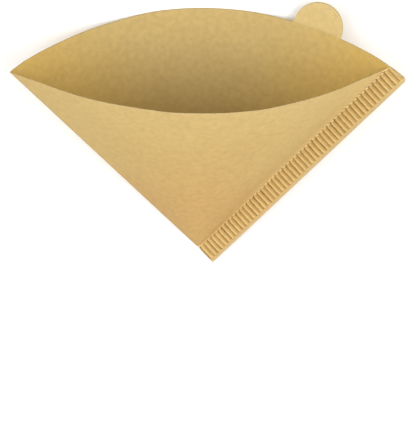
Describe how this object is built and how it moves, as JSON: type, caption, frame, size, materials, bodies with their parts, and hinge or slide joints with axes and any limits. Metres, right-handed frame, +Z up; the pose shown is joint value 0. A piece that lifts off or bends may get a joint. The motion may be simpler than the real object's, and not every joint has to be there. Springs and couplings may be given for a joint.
{
  "type": "paper coffee filter",
  "caption": "Cone-shaped paper coffee filter in unbleached brown paper, opened and lying on its back panel, with a folded side, a crimped side seam and a round grip tab on the rim.",
  "frame": {"origin": "on the floor, in the middle of the flat belly of the back panel, 62 mm from the apex", "axes": "+X to the crimped seam, +Y out of the mouth, +Z up; the filter lies on its back panel"},
  "size_m": [0.1597, 0.1153, 0.068],
  "materials": {
    "unbleached_paper": "matte, soft and slightly fibrous"
  },
  "bodies": {
    "root": {"paper_filter": "unbleached_paper"}
  },
  "joints": []
}
